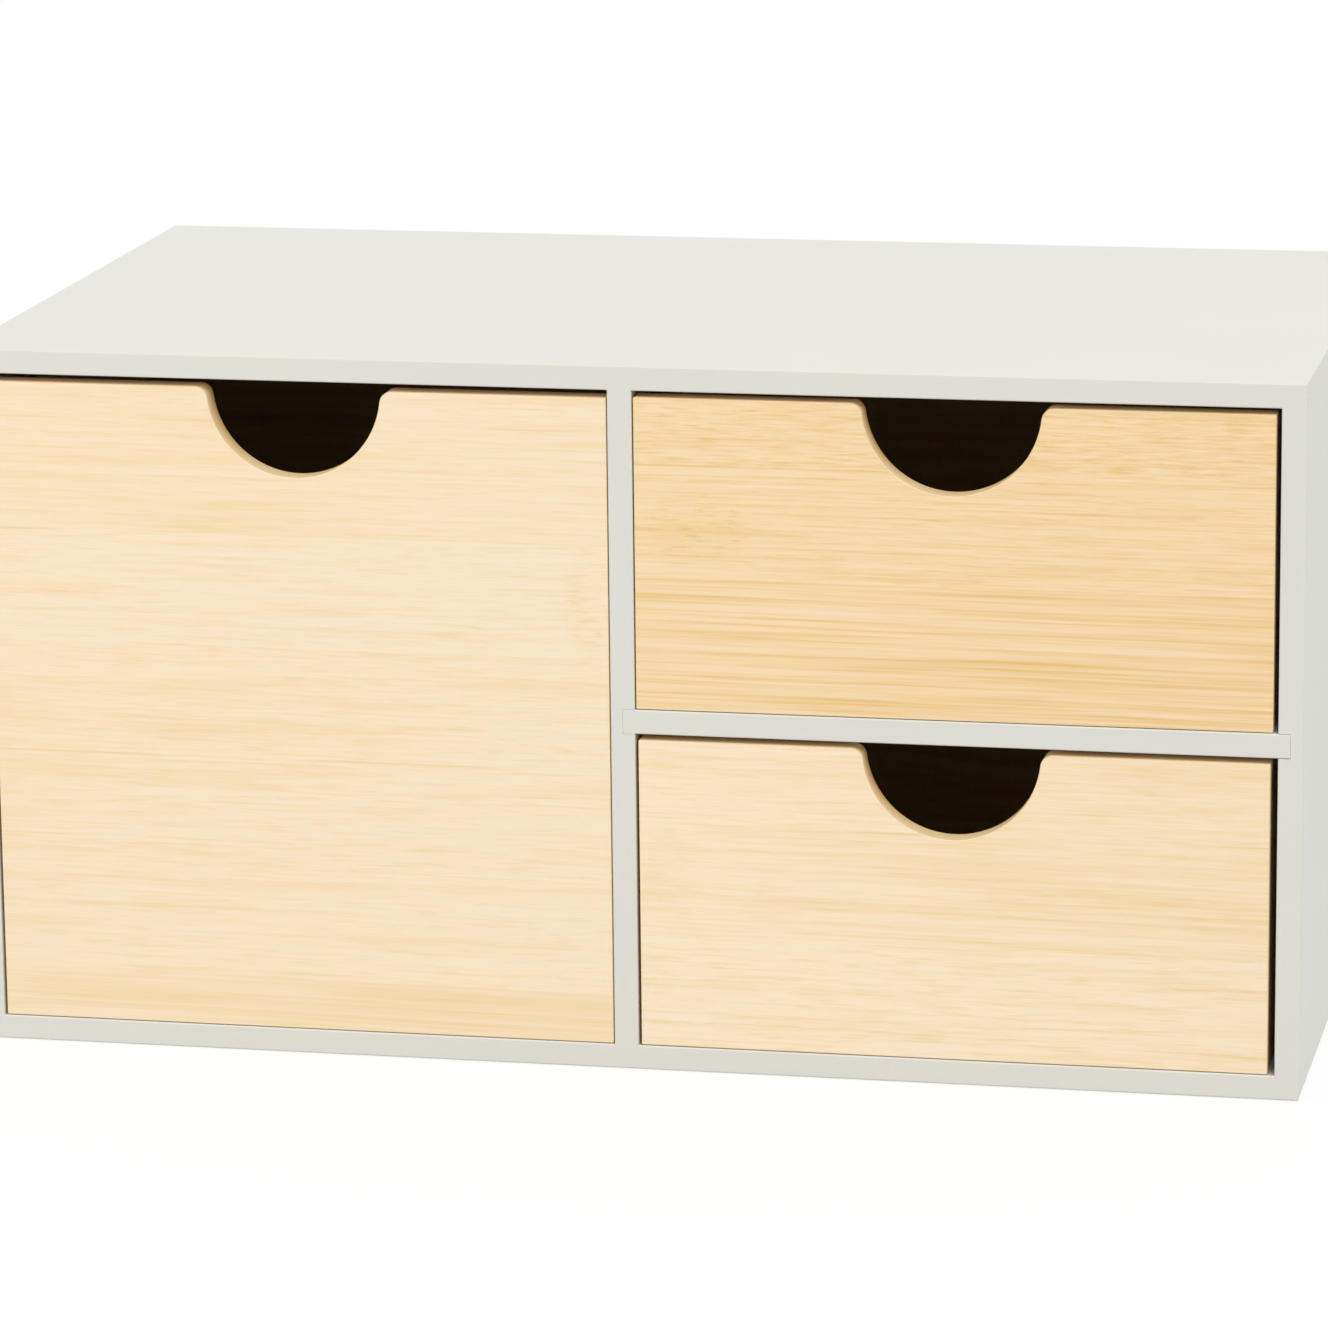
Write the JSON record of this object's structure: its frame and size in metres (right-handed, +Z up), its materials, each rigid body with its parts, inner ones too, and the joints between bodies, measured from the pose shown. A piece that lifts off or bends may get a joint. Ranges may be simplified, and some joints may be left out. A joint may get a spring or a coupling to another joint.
{
  "type": "desk drawer unit",
  "caption": "Low free-standing desk unit in painted board with inset bamboo-fronted drawers, one tall and the others stacked beside it, each pulled by a half-round finger notch.",
  "frame": {"origin": "middle of the underside of the bottom panel, on the surface that the unit stands on", "axes": "+X to the right as seen from the front, along the width; +Y from the drawer fronts to the back; +Z up; the drawers open along -Y"},
  "size_m": [0.33, 0.192, 0.175],
  "materials": {
    "painted_board": "fine fibreboard sprayed with matt warm light-grey paint",
    "bamboo_front": "natural laminated bamboo, grain across, clear matt lacquer",
    "drawer_wood": "pale plywood, sanded and unfinished",
    "drawer_bottom": "thin pale plywood sheet, unfinished",
    "brad_steel": "bright drawn wire"
  },
  "bodies": {
    "carcass": {"top_panel": "painted_board", "bottom_panel": "painted_board", "left_side_panel": "painted_board", "right_side_panel": "painted_board", "centre_divider": "painted_board", "right_shelf": "painted_board", "back_panel": "painted_board", "carcass_brads": "brad_steel", "back_panel_brads": "brad_steel"},
    "large_drawer": {"large_drawer_front": "bamboo_front", "large_drawer_left_side": "drawer_wood", "large_drawer_right_side": "drawer_wood", "large_drawer_back": "drawer_wood", "large_drawer_bottom": "drawer_bottom", "large_drawer_brads": "brad_steel"},
    "upper_drawer": {"upper_drawer_front": "bamboo_front", "upper_drawer_left_side": "drawer_wood", "upper_drawer_right_side": "drawer_wood", "upper_drawer_back": "drawer_wood", "upper_drawer_bottom": "drawer_bottom", "upper_drawer_brads": "brad_steel"},
    "lower_drawer": {"lower_drawer_front": "bamboo_front", "lower_drawer_left_side": "drawer_wood", "lower_drawer_right_side": "drawer_wood", "lower_drawer_back": "drawer_wood", "lower_drawer_bottom": "drawer_bottom", "lower_drawer_brads": "brad_steel"}
  },
  "joints": [
    {"name": "large_drawer_slide", "type": "slide", "parent": "carcass", "child": "large_drawer", "axis": [0, -1, 0], "range_m": [0, 0.15]},
    {"name": "upper_drawer_slide", "type": "slide", "parent": "carcass", "child": "upper_drawer", "axis": [0, -1, 0], "range_m": [0, 0.15]},
    {"name": "lower_drawer_slide", "type": "slide", "parent": "carcass", "child": "lower_drawer", "axis": [0, -1, 0], "range_m": [0, 0.15]}
  ]
}
